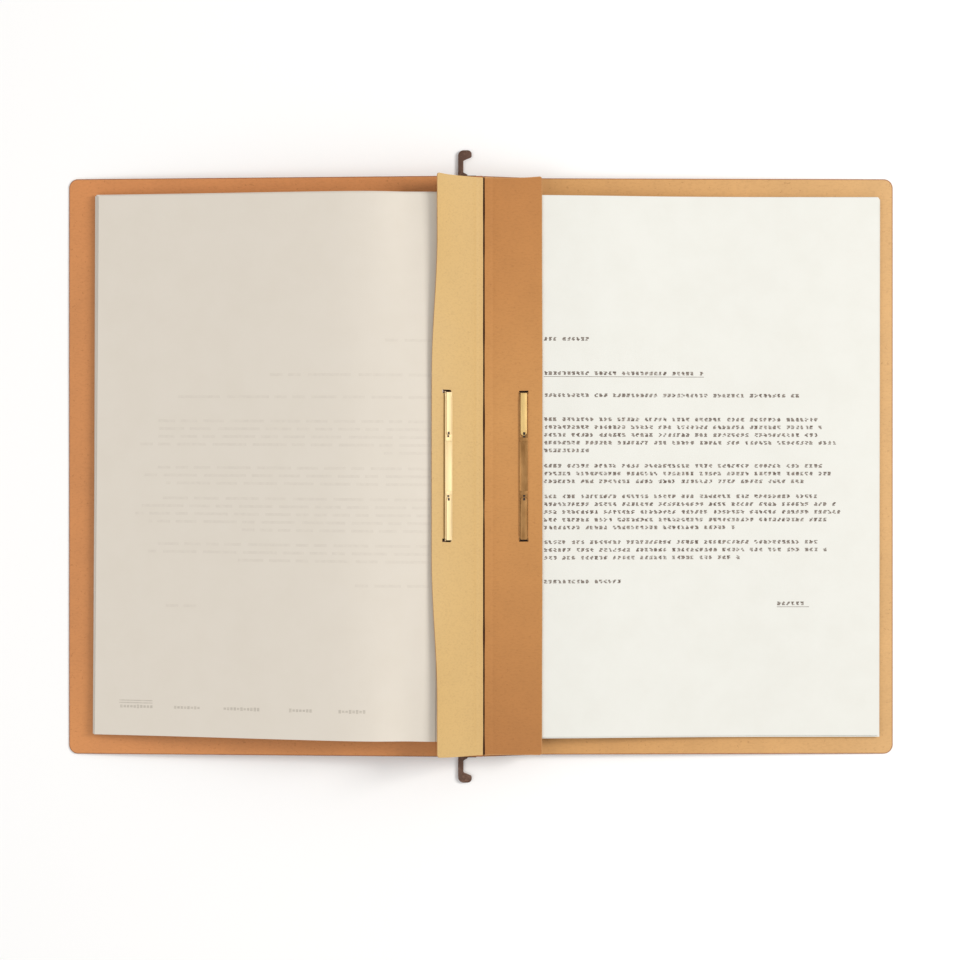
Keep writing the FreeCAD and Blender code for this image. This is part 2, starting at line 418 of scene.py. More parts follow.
@dataclass(frozen=True)
class LacqueredSteel:
    """Dark brown lacquer over rolled steel, worn lighter in patches."""

    name: str
    colour: Colour
    worn: Colour

    def make(self) -> bpy.types.Material:
        """Builds the lacquer's material.

        Returns:
            The material.
        """
        material, pen, shader = new_material(self.name)
        wear = pen.noise(310.0, detail=5.0, roughness=0.65)
        pen.link(pen.ramp(wear, [(0.52, self.colour), (0.72, self.worn)]),
                 shader.inputs["Base Color"])
        shader.inputs["Metallic"].default_value = 0.35
        shader.inputs["Roughness"].default_value = 0.42
        shader.inputs["Coat Weight"].default_value = 0.2
        shader.inputs["Coat Roughness"].default_value = 0.25
        peel = pen.noise(1500.0, detail=2.0)
        pen.link(pen.bump(peel, 0.04 * MM, 0.4), shader.inputs["Normal"])
        return material


def kraft_finishes() -> dict[str, bpy.types.Material]:
    """The card's finishes by name.

    Returns:
        The materials for covers and wings, several of them lit and shaded copies of one card, for
        the near-black painted shade in the fold, and for worn or cut edges.
    """
    wing_tones = AgeTintAndPaintedLight(Axis.Y, ((-158 * MM, (0.76, 0.66, 0.60)), (-60 * MM, (0.91, 0.86, 0.82)),
                                 (25 * MM, (1, 1, 1)), (95 * MM, (0.90, 0.83, 0.78)),
                                 (158 * MM, (0.84, 0.74, 0.68))))
    # Painted light on the back cover: darker and more orange near the spine, where the wing
    # shades it, and paler towards its outer edge, nearest the key light.
    back_painted_light = AgeTintAndPaintedLight(Axis.X, ((30 * MM, (0.91, 0.79, 0.64)), (200 * MM, (0.94, 0.92, 0.88)),
                                  (228 * MM, (0.97, 0.98, 0.98))))
    # Painted light on the front cover: its middle is darkened and both ends are kept lighter, to
    # offset the shade that falls near its bottom end.
    front_painted_light = AgeTintAndPaintedLight(Axis.Y, ((-159 * MM, (1, 1, 1)), (-140 * MM, (0.98, 0.98, 0.96)),
                                  (-100 * MM, (0.92, 0.92, 0.92)),
                                  (100 * MM, (0.92, 0.92, 0.92)),
                                  (159 * MM, (0.97, 0.94, 0.92))))
    cards = {
        # The front card is a shaded copy of the same kraft card as the back, darker and more
        # orange: painted shade.
        "front": KraftCard("kraft_front", (0.630, 0.261, 0.090), front_painted_light),
        # The back card is a lit copy of the same kraft card as the front, paler and yellower:
        # painted light and sheen.
        "back": KraftCard("kraft_back", (0.650, 0.385, 0.165), back_painted_light),
        "right_wing": KraftCard("kraft_right_wing", (0.552, 0.266, 0.083), wing_tones,
                                mottle=60.0, contrast=0.035, flecks=0.2),
        # The left wing is a lit copy of the wing card, paler and yellower than the right one:
        # painted light and sheen where it tilts towards the key light.
        "left_wing": KraftCard("kraft_left_wing", (0.570, 0.375, 0.145), mottle=60.0,
                               contrast=0.02, flecks=0.2),
        "cut_edge": KraftCard("kraft_cut_edge", (0.52, 0.27, 0.11), roughness=0.8,
                              mottle=400.0, contrast=0.12),
        "rim": KraftCard("kraft_worn_rim", (0.34, 0.140, 0.060), roughness=0.7,
                         mottle=300.0, contrast=0.15),
        # Near-black card for the strip in the fold: painted shade where the fold's gap lies in
        # shadow.
        "crease": KraftCard("kraft_crease", (0.085, 0.032, 0.016), roughness=0.8,
                            mottle=250.0, contrast=0.3),
    }
    return {name: card.make() for name, card in cards.items()}


def paper_finishes() -> dict[str, bpy.types.Material]:
    """The finishes of the sheets and of what is typed or shows through on them.

    Returns:
        The materials by name.
    """
    finishes = {
        "right_page": OfficePaper("paper_front", (0.735, 0.735, 0.690), (0.718, 0.716, 0.668)),
        # The left page is a darker, warmer copy of the same paper: painted shade for a page that
        # slopes away from the key light.
        "left_page": OfficePaper("paper_back", (0.700, 0.645, 0.565), (0.688, 0.632, 0.55)),
        "sheet_edge": OfficePaper("paper_cut_edge", (0.70, 0.66, 0.58), (0.56, 0.51, 0.43),
                                  0.8),
        "ink": Ink("ribbon_ink", (0.130, 0.100, 0.085), (0.27, 0.23, 0.20)),
        "ghost": Ink("show_through", (0.655, 0.600, 0.525), (0.685, 0.63, 0.55)),
        "stamp": Ink("pale_stamp", (0.52, 0.475, 0.41), (0.60, 0.55, 0.475)),
    }
    return {name: finish.make() for name, finish in finishes.items()}


def metal_finishes() -> dict[str, bpy.types.Material]:
    """The finishes of the fasteners and the rail.

    Returns:
        The materials by name.
    """
    finishes = {
        # Three copies of one brass, each tuned to how its parts are lit: the pale one on the left
        # fastener is a painted reflection of the key light, the dark one on the right bar and
        # lower tongue is painted shade, and the warm one goes on the right fastener's other
        # parts.
        "brass": SatinBrass("satin_brass", (0.84, 0.69, 0.42), (0.80, 0.64, 0.37), 0.56),
        "warm_brass": SatinBrass("warm_brass", (0.84, 0.60, 0.25), (0.70, 0.45, 0.17), 0.38),
        "aged_brass": SatinBrass("aged_brass", (0.46, 0.245, 0.090), (0.33, 0.16, 0.05), 0.36),
        "rail": LacqueredSteel("brown_lacquer", (0.105, 0.050, 0.030), (0.24, 0.13, 0.085)),
        # Near-black finish, built like the lacquer, for the plates at the tongues' tips: painted
        # shadow.
        "recess": LacqueredSteel("dark_recess", (0.030, 0.018, 0.012), (0.06, 0.035, 0.02)),
    }
    return {name: finish.make() for name, finish in finishes.items()}


@dataclass
class Finishes:
    """Every finish of the file, built once."""

    card: dict[str, bpy.types.Material] = field(default_factory=kraft_finishes)
    paper: dict[str, bpy.types.Material] = field(default_factory=paper_finishes)
    metal: dict[str, bpy.types.Material] = field(default_factory=metal_finishes)


# ------------------------------------------------------------------ bending flat stock

class Bend(Enum):
    """How a profile goes through its points."""

    CREASED = "creased"
    CURLED = "curled"


@dataclass
class Profile:
    """The line in the X-Z plane that card or paper follows, measured along its length."""

    points: list[Point]
    bend: Bend = Bend.CURLED
    crease_radius: float = 0.8 * MM
    curl_steps: int = 14
    crease_steps: int = 6
    places: list[Point] = field(init=False)
    lengths: list[float] = field(init=False)

    def __post_init__(self) -> None:
        """Works out the dense line and the length at each of its places."""
        self.places = self._creased() if self.bend is Bend.CREASED else self._curled()
        self.lengths = [0.0]
        for one, two in zip(self.places, self.places[1:]):
            self.lengths.append(self.lengths[-1] + math.dist(one, two))

    @property
    def length(self) -> float:
        """The whole developed length."""
        return self.lengths[-1]

    def _curled(self) -> list[Point]:
        """A smooth line through the points.

        Returns:
            The dense line, from a Catmull-Rom spline with mirrored end points.
        """
        pts = [Vector(p) for p in self.points]
        pts = [2 * pts[0] - pts[1], *pts, 2 * pts[-1] - pts[-2]]
        line: list[Point] = []
        for a, b, c, d in zip(pts, pts[1:], pts[2:], pts[3:]):
            for step in range(self.curl_steps):
                t = step / self.curl_steps
                spot = 0.5 * (2 * b + (c - a) * t + (2 * a - 5 * b + 4 * c - d) * t * t
                              + (3 * b - a - 3 * c + d) * t ** 3)
                line.append(tuple(spot))
        return [*line, tuple(pts[-2])]

    def _creased(self) -> list[Point]:
        """Straight panels with a tight round at each crease.

        Returns:
            The dense line.
        """
        pts = [Vector(p) for p in self.points]
        line: list[Point] = [tuple(pts[0])]
        for before, here, after in zip(pts, pts[1:], pts[2:]):
            start = here + (before - here).normalized() * self.crease_radius
            end = here + (after - here).normalized() * self.crease_radius
            for step in range(self.crease_steps + 1):
                t = step / self.crease_steps
                spot = start.lerp(here, t).lerp(here.lerp(end, t), t)
                line.append(tuple(spot))
        return [*line, tuple(pts[-1])]

    def at(self, along: float) -> tuple[Vector, Vector]:
        """Where the stock's middle is at a length.

        Args:
            along: metres from the profile's start; past an end it goes on straight.

        Returns:
            The place and the upward normal, both with Y of 0.
        """
        index = min(max(bisect.bisect_right(self.lengths, along) - 1, 0),
                    len(self.places) - 2)
        one, two = Vector(self.places[index]), Vector(self.places[index + 1])
        way = (two - one).normalized()
        spot = one + way * (along - self.lengths[index])
        normal = Vector((-way.y, way.x))
        if normal.y < 0:
            normal = -normal
        return Vector((spot.x, 0, spot.y)), Vector((normal.x, 0, normal.y))

    def point(self, along: float, across: float, lift: float) -> Vector:
        """A place on the bent stock.

        Args:
            along: metres from the profile's start.
            across: metres along Y.
            lift: metres above the stock's middle.

        Returns:
            The place in the model's frame.
        """
        place, normal = self.at(along)
        return place + normal * lift + Vector((0, across, 0))


def stations(low: float, high: float, step: float, extra: tuple[float, ...] = (),
             rim: float = 0.0, fine: int = 7, closest: float = 0.12 * MM) -> list[float]:
    """Grid lines across a length.

    Args:
        low: first line.
        high: last line.
        step: widest spacing.
        extra: lines that must be there, such as a crease or the edge of a slot.
        rim: width at both ends that gets close lines, for a rounded corner.
        fine: how many close lines each of those widths gets.
        closest: narrowest spacing; a line that must be there pushes out others.

    Returns:
        The lines in order.
    """
    count = max(2, math.ceil((high - low) / step))
    lines = [low + (high - low) * index / count for index in range(count + 1)]
    if rim:
        for index in range(1, fine + 1):
            lines += [low + rim * index / fine, high - rim * index / fine]
    keep: list[float] = []
    must = sorted({low, high, *extra})
    for line in sorted(lines):
        if all(abs(line - other) > closest for other in [*must, *keep]):
            keep.append(line)
    return sorted([*keep, *must])


# A place on a piece of stock: metres along its profile, metres across it and its lift.
Spot = tuple[float, float, float]
Warp = Callable[[float, float], Spot]


def still(along: float, across: float) -> Spot:
    """A warp that leaves flat stock alone."""
    return along, across, 0.0


@dataclass
class FlatStock:
    """One piece of card or paper, cut flat and then bent along a profile."""

    name: str
    profile: Profile
    start: float
    end: float
    half_height: float
    thickness: float
    step: float = 4 * MM
    corner: float = 0.0
    slots: tuple[Hole, ...] = ()
    creases: tuple[float, ...] = ()
    rim: float = 0.0
    warp: Warp = still

    def build(self, *materials: bpy.types.Material) -> bpy.types.Object:
        """Cuts, rounds, slots, bends and thickens the stock.

        Args:
            materials: finish of both faces, of the cut edges and of the worn rim, if any.

        Returns:
            The finished object, at the origin.
        """
        bm = bmesh.new()
        slot_lines = [value for slot in self.slots for value in slot]
        ends = (self.start + self.rim, self.end - self.rim) if self.rim else ()
        side = (self.rim - self.half_height, self.half_height - self.rim) if self.rim else ()
        xs = stations(self.start, self.end, self.step,
                      (*slot_lines[0::4], *slot_lines[1::4], *self.creases, *ends),
                      self.corner)
        ys = stations(-self.half_height, self.half_height, self.step * 1.5,
                      (*slot_lines[2::4], *slot_lines[3::4], *side), self.corner)
        bmesh.ops.create_grid(bm, x_segments=len(xs) - 1, y_segments=len(ys) - 1, size=1.0)
        for vert in bm.verts:
            vert.co.x = self._line(xs, vert.co.x)
            vert.co.y = self._line(ys, vert.co.y)
        self._cut_slots(bm)
        self._mark_rim(bm)
        for vert in bm.verts:
            self._round(vert)
        for vert in bm.verts:
            vert.co = self.profile.point(*self.warp(vert.co.x, vert.co.y))
        bmesh.ops.recalc_face_normals(bm, faces=bm.faces[:])
        if sum(face.normal.z for face in bm.faces) < 0:
            bmesh.ops.reverse_faces(bm, faces=bm.faces[:])
        self._thicken(bm)
        return finish_mesh(self.name, bm, list(materials))

    @staticmethod
    def _line(lines: list[float], value: float) -> float:
        """Moves a plain grid coordinate to its own grid line.

        Args:
            lines: the wanted lines.
            value: the coordinate, from -1 to 1.

        Returns:
            The line's place.
        """
        spot = (value + 1) / 2 * (len(lines) - 1)
        index = min(int(spot + 1e-4), len(lines) - 2)
        return lines[index] + (lines[index + 1] - lines[index]) * (spot - index)

    def _in_slot(self, face: bmesh.types.BMFace) -> bool:
        """Whether a face of the flat grid lies inside a slot."""
        spot = face.calc_center_median()
        return any(x0 < spot.x < x1 and y0 < spot.y < y1 for x0, x1, y0, y1 in self.slots)

    def _cut_slots(self, bm: bmesh.types.BMesh) -> None:
        """Removes the faces inside each slot."""
        gone = [face for face in bm.faces if self._in_slot(face)]
        bmesh.ops.delete(bm, geom=gone, context="FACES")

    def _mark_rim(self, bm: bmesh.types.BMesh) -> None:
        """Gives the faces beside the outer edges the rim's finish, where there is a rim.

        Args:
            bm: the flat grid.
        """
        if not self.rim:
            return
        for face in bm.faces:
            spot = face.calc_center_median()
            if min(self.end - spot.x, self.half_height - abs(spot.y)) < self.rim:
                face.material_index = RIM_SLOT

    def _round(self, vert: bmesh.types.BMVert) -> None:
        """Pulls a point of an outer corner's square in to the corner's round.

        Args:
            vert: a point of the flat grid; it is moved.
        """
        side_y = 1 if vert.co.y > 0 else -1
        deep_x = vert.co.x - self.end + self.corner
        deep_y = abs(vert.co.y) - (self.half_height - self.corner)
        if self.corner and deep_x > TINY and deep_y > TINY:
            square = math.hypot(deep_x, deep_y) / max(deep_x, deep_y)
            vert.co.x = self.end - self.corner + deep_x / square
            vert.co.y = side_y * (self.half_height - self.corner + deep_y / square)

    def _thicken(self, bm: bmesh.types.BMesh) -> None:
        """Gives the stock its thickness about its middle and marks the cut edges.

        Args:
            bm: the bent grid, facing up; it becomes a closed shell.
        """
        normals = {vert: vert.normal.copy() for vert in bm.verts}
        for vert, normal in normals.items():
            vert.co += normal * self.thickness / 2
        top = set(bm.faces)
        made = bmesh.ops.extrude_face_region(bm, geom=bm.faces[:], use_keep_orig=True)["geom"]
        bm.normal_update()
        fresh = [item for item in made if isinstance(item, bmesh.types.BMVert)]
        under = {item for item in made if isinstance(item, bmesh.types.BMFace)}
        normal_at = {vert.co.to_tuple(9): normal for vert, normal in normals.items()}
        for vert in fresh:
            vert.co -= normal_at[vert.co.to_tuple(9)] * self.thickness
        bmesh.ops.reverse_faces(bm, faces=list(under))
        for face in bm.faces:
            if face not in top and face not in under:
                face.material_index = EDGE_SLOT
        bmesh.ops.recalc_face_normals(bm, faces=bm.faces[:])


def finish_mesh(name: str, bm: bmesh.types.BMesh, materials: list[bpy.types.Material],
                sharp: float = math.radians(40)) -> bpy.types.Object:
    """Turns a bmesh into a shaded object at the origin.

    Args:
        name: the piece's name.
        bm: its shape; it is freed.
        materials: its finishes, in slot order.
        sharp: an edge that turns by more than this angle stays sharp.

    Returns:
        The object.
    """
    mesh = bpy.data.meshes.new(name)
    bm.to_mesh(mesh)
    bm.free()
    for material in materials:
        mesh.materials.append(material)
    piece = bpy.data.objects.new(name, mesh)
    bpy.context.scene.collection.objects.link(piece)
    mesh.shade_smooth()
    mesh.set_sharp_from_angle(angle=sharp)
    return piece


def report(piece: bpy.types.Object, body: str) -> bpy.types.Object:
    """Makes a piece ride on a body and logs it.

    Args:
        piece: the finished piece.
        body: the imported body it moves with.

    Returns:
        The piece.
    """
    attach(piece, body)
    LOG.info("%s on %s: %d faces", piece.name, body, len(piece.data.polygons))
    return piece


def bend_between(piece: bpy.types.Object, one: str, two: str) -> bpy.types.Object:
    """Bakes a piece's place into its mesh and logs the two bodies that it lies across; it is tied
    to neither and does not bend.

    Args:
        piece: the finished piece, with no parent.
        one: the body at its start; it is only named in the log.
        two: the body at its end; it is only named in the log.

    Returns:
        The piece.
    """
    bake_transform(piece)
    LOG.info("%s bends from %s to %s: %d faces", piece.name, one, two,
             len(piece.data.polygons))
    return piece


# ------------------------------------------------------------------ covers

@dataclass
class CoverSet:
    """The kraft covers on both sides of the fold, with their creases."""

    finishes: Finishes
    card: float = 0.5 * MM
    corner: float = 5.0 * MM
    crest_drop: float = 1.0 * MM
    shoulder: Point = (33.0 * MM, 5.0 * MM)
    foot_x: float = -1.5 * MM
    grid: float = 5.0 * MM
    worn_rim: float = 0.45 * MM
    fold_gap: float = 0.6 * MM
    wave: float = 0.25 * MM
    wave_fades_in: float = 60.0 * MM
    back_round: float = 1.2 * MM
    back_line_pitch: float = 0.4 * MM
    score_round: float = 1.4 * MM
    score_line_pitch: float = 0.35 * MM
    score_depth: float = 0.22 * MM
    score_width: float = 0.6 * MM
    score_reach: float = 1.6 * MM
    strip_card: float = 0.3 * MM
    strip_grid: float = 1.2 * MM
    strip_inset: float = 1.0 * MM
    strip_reach: float = 1.5 * MM
    strip_line: tuple[Point, ...] = ((6 * MM, -1.2 * MM), (1.2 * MM, 0.25 * MM),
                                     (-1.0 * MM, 0.42 * MM), (-8 * MM, 0.45 * MM))
    sleeve_round: float = 0.4 * MM
    sleeve_grid: float = 2.0 * MM
    sleeve_step_out: float = 1.8 * MM
    sleeve_step_in: float = 0.8 * MM

    def __post_init__(self) -> None:
        """Reads the covers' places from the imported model."""
        self.fold = joint_place("spine_fold")
        self.score = joint_place("front_cover_score")
        self.back_low, self.back_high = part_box("back_cover")
        self.front_low, self.front_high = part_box("front_cover")
        self.half_height = self.back_high.y
        self.hinge_length = self.fold.x - self.fold_gap - self.score.x

    def _wavy(self, along: float, across: float) -> Spot:
        """The card's slight waviness."""
        spot = Vector((along * 9.0, across * 7.0, 3.0))
        return along, across, self.wave * noise.noise(spot)

    def back(self) -> bpy.types.Object:
        """The back cover: fin, crest under the fold, slope and flat panel.

        Returns:
            The piece.
        """
        middle = self.card / 2
        profile = Profile([(self.back_low.x, middle), (self.foot_x, middle),
                           (self.fold.x, self.fold.z - self.crest_drop), self.shoulder,
                           (self.back_high.x, middle)], Bend.CREASED, self.back_round)
        creases = []
        for corner in profile.points[1:-1]:
            nearest = min(range(len(profile.places)),
                          key=lambda i: math.dist(profile.places[i], corner))
            creases += [profile.lengths[nearest] + k * self.back_line_pitch
                        for k in range(-2, 3)]
        stock = FlatStock("back_cover_card", profile, 0.0, profile.length, self.half_height,
                          self.card, self.grid, self.corner, creases=tuple(creases),
                          rim=self.worn_rim, warp=self._wavy)
        card = self.finishes.card
        piece = stock.build(card["back"], card["cut_edge"], card["rim"])
        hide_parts("back_cover")
        return report(piece, "back_half")

    def front(self) -> bpy.types.Object:
        """The front cover with its narrow spine panel, one card across the score.

        Returns:
            The piece.
        """
        middle = self.card / 2
        profile = Profile([(self.fold.x - self.fold_gap, self.fold.z),
                           (self.score.x, self.score.z), (self.front_low.x, middle)],
                          Bend.CREASED, self.score_round)
        creases = tuple(self.hinge_length + k * self.score_line_pitch for k in range(-4, 5))
        stock = FlatStock("front_cover_card", profile, 0.0, profile.length, self.half_height,
                          self.card, self.grid, self.corner, creases=creases,
                          rim=self.worn_rim, warp=self._scored)
        card = self.finishes.card
        piece = stock.build(card["front"], card["cut_edge"], card["rim"])
        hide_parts("front_cover", "front_spine")
        bend_between(piece, "front_spine_panel", "front_cover_panel")
        return piece

    def _scored(self, along: float, across: float) -> Spot:
        """The waviness, fading in from the fold, with the score's shallow groove pressed in.

        Args:
            along: metres from the card's edge at the fold.
            across: metres along Y.

        Returns:
            The place on the bent card.
        """
        off = (along - self.hinge_length) / self.score_width
        groove = self.score_depth * math.exp(-off ** 2)
        _, _, lift = self._wavy(along, across)
        fade = min(1.0, along / self.wave_fades_in)
        return along, across, lift * fade - groove

    def fold_strip(self) -> bpy.types.Object:
        """The card that turns over the crest and joins the two halves at the fold.

        Returns:
            The piece.
        """
        crest = self.fold.z - self.crest_drop
        profile = Profile([(self.fold.x + x, crest + z) for x, z in self.strip_line])
        stock = FlatStock("fold_strip", profile, 0.0, profile.length,
                          self.half_height - self.strip_inset, self.strip_card,
                          self.strip_grid)
        card = self.finishes.card
        # The strip's top faces take the near-black card, painted shade in the fold's gap; its
        # underside faces take the front card.
        piece = stock.build(card["crease"], card["cut_edge"], card["front"])
        for face in piece.data.polygons:
            if face.normal.z < -0.5:
                face.material_index = RIM_SLOT
        bend_between(piece, "back_half", "front_spine_panel")
        return piece

    def sleeve(self) -> bpy.types.Object:
        """The strip glued over the rail.

        Returns:
            The piece.
        """
        low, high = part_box("hanger_sleeve")
        rail_low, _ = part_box("hanger_rail")
        top = high.z - self.card / 2
        glued = low.z + self.card / 2
        profile = Profile([(low.x, glued), (rail_low.x - self.sleeve_step_out, glued),
                           (rail_low.x - self.sleeve_step_in, top), (high.x, top)],
                          Bend.CREASED, self.sleeve_round)
        stock = FlatStock("rail_sleeve_card", profile, 0.0, profile.length, high.y,
                          self.card, self.sleeve_grid)
        piece = stock.build(self.finishes.card["back"], self.finishes.card["cut_edge"])
        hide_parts("hanger_sleeve")
        return report(piece, "back_half")

    def build(self) -> None:
        """Builds every cover piece."""
        self.back()
        self.front()
        self.fold_strip()
        self.sleeve()


# ------------------------------------------------------------------ wings and sheets

class Side(Enum):
    """Which leaf: its sign along X."""

    LEFT = -1
    RIGHT = 1


@dataclass(frozen=True)
class LeafShape:
    """What differs between the two leaves; its lie is X and Z in millimetres."""

    tilt: float
    prong: float
    sag: float
    bow: float
    end_rise: float
    middle_droop: float
    flare: Point
    page_angle: float
    page_shift: Point
    lie: tuple[Point, ...]


SHAPES = {
    Side.LEFT: LeafShape(
        tilt=math.radians(36.0), prong=23.9 * MM, sag=2.6 * MM, bow=1.5 * MM,
        end_rise=1.3 * MM, middle_droop=1.7 * MM, flare=(0.65 * MM, 0.0),
        page_angle=math.radians(0.45), page_shift=(-1.2 * MM, -0.8 * MM),
        lie=((-25.5, 32.0), (-36, 33.1), (-52, 33.2), (-74, 31.8), (-110, 25.3),
             (-150, 17.0), (-185, 10.2), (-213.6, 5.0))),
    Side.RIGHT: LeafShape(
        tilt=0.0, prong=21.9 * MM, sag=0.0, bow=0.2 * MM,
        end_rise=0.0, middle_droop=0.0, flare=(0.4 * MM, 0.5 * MM),
        page_angle=0.0, page_shift=(-1.0 * MM, 0.0),
        lie=((31, 15.3), (60, 13.2), (100, 8.9), (140, 5.75), (180, 4.4), (221, 3.35))),
}


@dataclass
class Leaf:
    """One filing wing with the sheets that its fastener holds."""

    side: Side
    finishes: Finishes
    card: float = 0.5 * MM
    wing_edge: float = 32.0 * MM
    wing_start: float = 0.6 * MM
    wing_half_height: float = 158.0 * MM
    wing_corner: float = 1.6 * MM
    wing_grid: float = 2.5 * MM
    wing_score: float = 5.0 * MM
    wing_score_half: float = 0.5 * MM
    wing_score_depth: float = 0.12 * MM
    wing_rim: float = 0.3 * MM
    wing_wave: float = 0.3 * MM
    wing_ragged: float = 0.4 * MM
    bow_flat: float = 50.0 * MM
    bow_fade: float = 75.0 * MM
    prong_y: float = 40.0 * MM
    slot_half_width: float = 2.5 * MM
    slot_in: float = 0.55 * MM
    slot_out: float = 1.3 * MM
    sheet_width: float = 210.0 * MM
    sheet_height: float = 297.0 * MM
    hole_to_edge: float = 12.0 * MM
    hole_half: float = 3.3 * MM
    hole_shift: float = 0.8 * MM
    paper_top: float = 0.5 * MM
    paper_grid: float = 6.0 * MM
    clamp_end: float = 19.0 * MM
    lip_place: float = 25.0 * MM
    lip_drop: float = 0.3 * MM
    sheets: int = 12
    sheet: float = 0.11 * MM
    sheet_pitch: float = 0.15 * MM
    first_depth: float = 0.62 * MM
    top_sheet: float = 0.13 * MM
    top_grid: float = 4.0 * MM
    top_curl: float = 0.4 * MM
    free_from_edge: float = 1.2 * MM
    clamped_to_edge: float = 1.4 * MM
    bend_before: float = 5.0 * MM
    bend_after: float = 9.0 * MM
    page_bend_before: float = 0.5 * MM
    page_bend_after: float = 16.0 * MM
    sag_place: float = 34.0 * MM
    sag_reach: float = 20.0 * MM

    def __post_init__(self) -> None:
        """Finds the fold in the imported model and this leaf's own shape."""
        self.word = self.side.name.lower()
        self.fold = joint_place("spine_fold")
        self.shape = SHAPES[self.side]
        self.tilt, self.prong = self.shape.tilt, self.shape.prong
        self.rng = random.Random(7 + self.side.value)

    def place(self, along: float, above: float) -> Point:
        """A place in the wing's own frame.

        Args:
            along: metres from the fold towards the wing's edge.
            above: metres above the wing's middle.

        Returns:
            Its X and Z.
        """
        x = along * math.cos(self.tilt) - above * math.sin(self.tilt)
        z = along * math.sin(self.tilt) + above * math.cos(self.tilt)
        return self.fold.x + self.side.value * x, self.fold.z + z

    def _wing_warp(self, along: float, across: float) -> Spot:
        """The wing's cut edge bows out at its middle, and the card waves a little.

        Args:
            along: metres from the fold.
            across: metres along Y.

        Returns:
            The place on the bent card.
        """
        share = along / self.wing_edge
        reach = min(max((abs(across) - self.bow_flat) / self.bow_fade, 0.0), 1.0)
        middle = 1 - reach * reach * (3 - 2 * reach)
        bow = self.shape.bow * middle
        droop = self.shape.end_rise * (1 - middle) - self.shape.middle_droop * middle
        spot = Vector((along * 22.0, across * 11.0, 5.0 + self.side.value))
        lift = self.wing_wave * noise.noise(spot) * share + droop * share ** 4
        off = (along - self.wing_score) / self.wing_score_half
        groove = self.wing_score_depth * math.exp(-off ** 2)
        tear = noise.noise(Vector((0.0, across * 60.0, 9.0)))
        ragged = self.wing_ragged * tear * (1 - share) ** 8
        even, lean = self.shape.flare
        flare = even + lean * across / self.wing_half_height
        return along + bow * share ** 3 + ragged, across + flare * share ** 5, lift - groove

    def wing(self) -> bpy.types.Object:
        """The wing's card with its two prong slots.

        Returns:
            The piece.
        """
        profile = Profile([self.place(0.0, 0.0), self.place(self.wing_edge, 0.0)],
                          Bend.CREASED)
        slots = []
        for end in (1, -1):
            near = end * (self.prong_y - self.slot_in)
            far = end * (self.prong_y + self.slot_out)
            slots.append((self.prong - self.slot_half_width, self.prong + self.slot_half_width,
                          min(near, far), max(near, far)))
        creases = tuple(self.wing_score + k * self.wing_score_half for k in (-1, 0, 1))
        stock = FlatStock(f"{self.word}_wing_card", profile, self.wing_start, self.wing_edge,
                          self.wing_half_height, self.card, self.wing_grid,
                          self.wing_corner, slots=tuple(slots), creases=creases,
                          rim=self.wing_rim, warp=self._wing_warp)
        card = self.finishes.card
        # On the left this is the wing card's lit copy, with painted light and sheen.
        face = card[f"{self.word}_wing"]
        rim = card["cut_edge"] if self.side is Side.RIGHT else face
        piece = stock.build(face, card["cut_edge"], rim)
        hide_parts(f"{self.word}_wing")
        return report(piece, f"{self.word}_leaf")

    def sheet_line(self, depth: float) -> Profile:
        """The line that one sheet follows, from its inner edge to its outer edge.

        Args:
            depth: metres below the top of the clamped sheets.

        Returns:
            The profile; its length is the sheet's width.
        """
        clamped = [self.place(self.prong - self.hole_to_edge, -self.paper_top - depth),
                   self.place(self.clamp_end, -self.paper_top - depth)]
        if self.side is Side.LEFT:
            clamped.append(self.place(self.lip_place,
                                      -self.paper_top - self.lip_drop - depth))
        return Profile([*clamped, *((x * MM, z * MM - depth) for x, z in self.shape.lie)])

    def paper(self) -> tuple[bpy.types.Material, bpy.types.Material]:
        """The finishes of this side's sheets: their faces and their cut edges."""
        return self.finishes.paper[f"{self.word}_page"], self.finishes.paper["sheet_edge"]

    def _turned(self, angle: float, shift: Point, curl: float = 0.0) -> Warp:
        """A warp that turns a sheet a little in its own plane, about the fastener.

        Args:
            angle: radians, in the sheet's plane.
            shift: metres along and across.
            curl: metres that the outer corners lift.

        Returns:
            The warp.
        """
        pivot = self.hole_to_edge

        def warp(along: float, across: float) -> Spot:
            """Turns, shifts, curls and sags one point of the sheet.

            Args:
                along: metres from the sheet's inner edge.
                across: metres along Y.

            Returns:
                The place on the bent sheet.
            """
            reach = along - pivot
            moved = reach * math.cos(angle) - across * math.sin(angle)
            aside = reach * math.sin(angle) + across * math.cos(angle)
            share = max(0.0, along / self.sheet_width) ** 4
            end = abs(across) / (self.sheet_height / 2)
            beside = max(0.0, 1 - abs(along - self.sag_place) / self.sag_reach)
            sag = self.shape.sag * end ** 2 * beside * beside * (3 - 2 * beside)
            return pivot + moved + shift[0], aside + shift[1], curl * share * end ** 4 - sag

        return warp

    def holes(self) -> tuple[Hole, ...]:
        """The punched holes of one sheet.

        Returns:
            Each hole's low and high place along the sheet and across it, in its flat state.
        """
        half = self.hole_half
        middle = self.hole_to_edge + self.hole_shift
        return tuple((middle - half, middle + half,
                      end * self.prong_y - half, end * self.prong_y + half)
                     for end in (1, -1))

